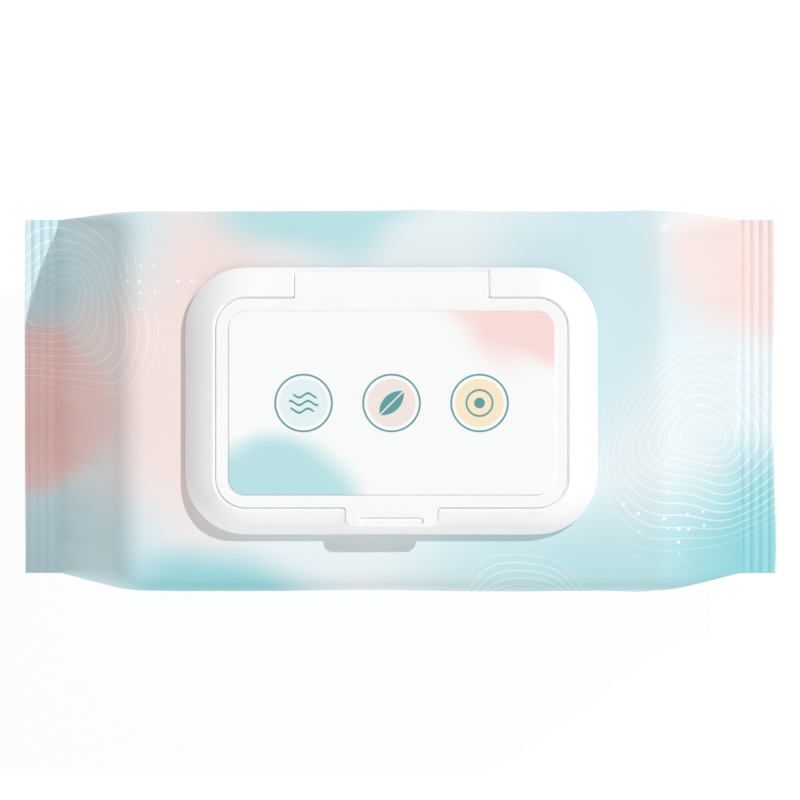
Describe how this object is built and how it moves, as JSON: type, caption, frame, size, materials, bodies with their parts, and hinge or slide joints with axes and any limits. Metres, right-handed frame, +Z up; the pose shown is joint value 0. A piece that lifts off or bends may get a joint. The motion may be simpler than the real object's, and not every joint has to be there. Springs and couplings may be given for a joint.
{
  "type": "wet wipes pack",
  "caption": "Flat oblong film pouch of damp folded wipes with crimped end seals and a low rounded flip-top dispensing lid glued over its opening.",
  "frame": {"origin": "middle of the pouch's underside, which lies flat", "axes": "+X along the pouch towards its right-hand end seal as read with the lid's hinge away from the reader, +Y towards the hinge, +Z up through the lid"},
  "size_m": [0.2, 0.1, 0.0633],
  "materials": {
    "printed_film": "satin laminate film printed in pale aqua, pink and white",
    "adhesive_tape": "double-sided adhesive tape",
    "seal_film": "glossy peel-off film",
    "moulded_plastic": "satin white polypropylene",
    "label_film": "white film label with pale printed fields"
  },
  "bodies": {
    "pack": {"film_pouch": "printed_film", "frame_adhesive": "adhesive_tape", "peel_seal": "seal_film", "lid_frame": "moulded_plastic"},
    "lid": {"lid": "moulded_plastic", "lid_label": "label_film"}
  },
  "joints": [
    {"name": "lid_hinge", "type": "hinge", "parent": "pack", "child": "lid", "pos_m": [-0.002, 0.0341, 0.05835], "axis": [-1, 0, 0], "range_deg": [0, 135]}
  ]
}
